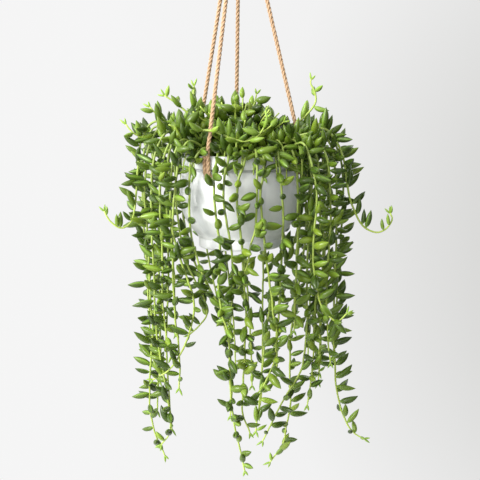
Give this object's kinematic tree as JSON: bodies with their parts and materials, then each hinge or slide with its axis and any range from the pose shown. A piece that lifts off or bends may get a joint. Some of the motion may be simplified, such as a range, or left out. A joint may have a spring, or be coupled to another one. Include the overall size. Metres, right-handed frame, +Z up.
{
  "type": "string of bananas in hanging planter",
  "caption": "Trailing string-of-bananas succulent in a white glazed ceramic planter hung on four jute cords from a steel ring.",
  "frame": {"origin": "the hook point: the lowest point of the hook, inside the top of the hanging ring", "axes": "+Z up, -Y is the front of the planter, +X to the right of someone looking at the front"},
  "size_m": [0.3613, 0.2369, 0.7665],
  "materials": {
    "glazed_ceramic": "gloss",
    "potting_soil": "matte",
    "ring_steel": "satin",
    "jute": "matte",
    "succulent_green": "satin"
  },
  "bodies": {
    "root": {"planter_pot": "glazed_ceramic", "potting_soil": "potting_soil", "hanging_ring": "ring_steel", "gathering_knot": "jute", "cord_front_left": "jute", "cord_right": "jute", "cord_back": "jute", "cord_back_left": "jute", "cord_tails": "jute", "stopper_knots": "jute", "vine_front_1": "succulent_green", "vine_front_2": "succulent_green", "vine_front_3": "succulent_green", "vine_front_4": "succulent_green", "vine_front_5": "succulent_green", "vine_front_6": "succulent_green", "vine_front_7": "succulent_green", "vine_front_8": "succulent_green", "vine_front_9": "succulent_green", "vine_left_1": "succulent_green", "vine_left_2": "succulent_green", "vine_left_3": "succulent_green", "vine_left_4": "succulent_green", "vine_left_5": "succulent_green", "vine_left_6": "succulent_green", "vine_left_7": "succulent_green", "vine_left_8": "succulent_green", "vine_left_9": "succulent_green", "vine_left_10": "succulent_green", "vine_left_11": "succulent_green", "vine_left_12": "succulent_green", "vine_right_1": "succulent_green", "vine_right_2": "succulent_green", "vine_right_3": "succulent_green", "vine_right_4": "succulent_green", "vine_right_5": "succulent_green", "vine_right_6": "succulent_green", "vine_right_7": "succulent_green", "vine_right_8": "succulent_green", "vine_right_9": "succulent_green", "vine_right_10": "succulent_green", "vine_right_11": "succulent_green", "vine_back_1": "succulent_green", "vine_back_2": "succulent_green", "vine_back_3": "succulent_green", "vine_back_4": "succulent_green", "vine_back_5": "succulent_green", "vine_middle_1": "succulent_green", "vine_middle_2": "succulent_green", "sprout_right": "succulent_green", "sprout_front": "succulent_green", "sprout_left": "succulent_green", "sprouts_top_left": "succulent_green", "crown_front": "succulent_green", "crown_left": "succulent_green", "crown_right": "succulent_green", "crown_back": "succulent_green", "crown_centre": "succulent_green"}
  },
  "joints": []
}
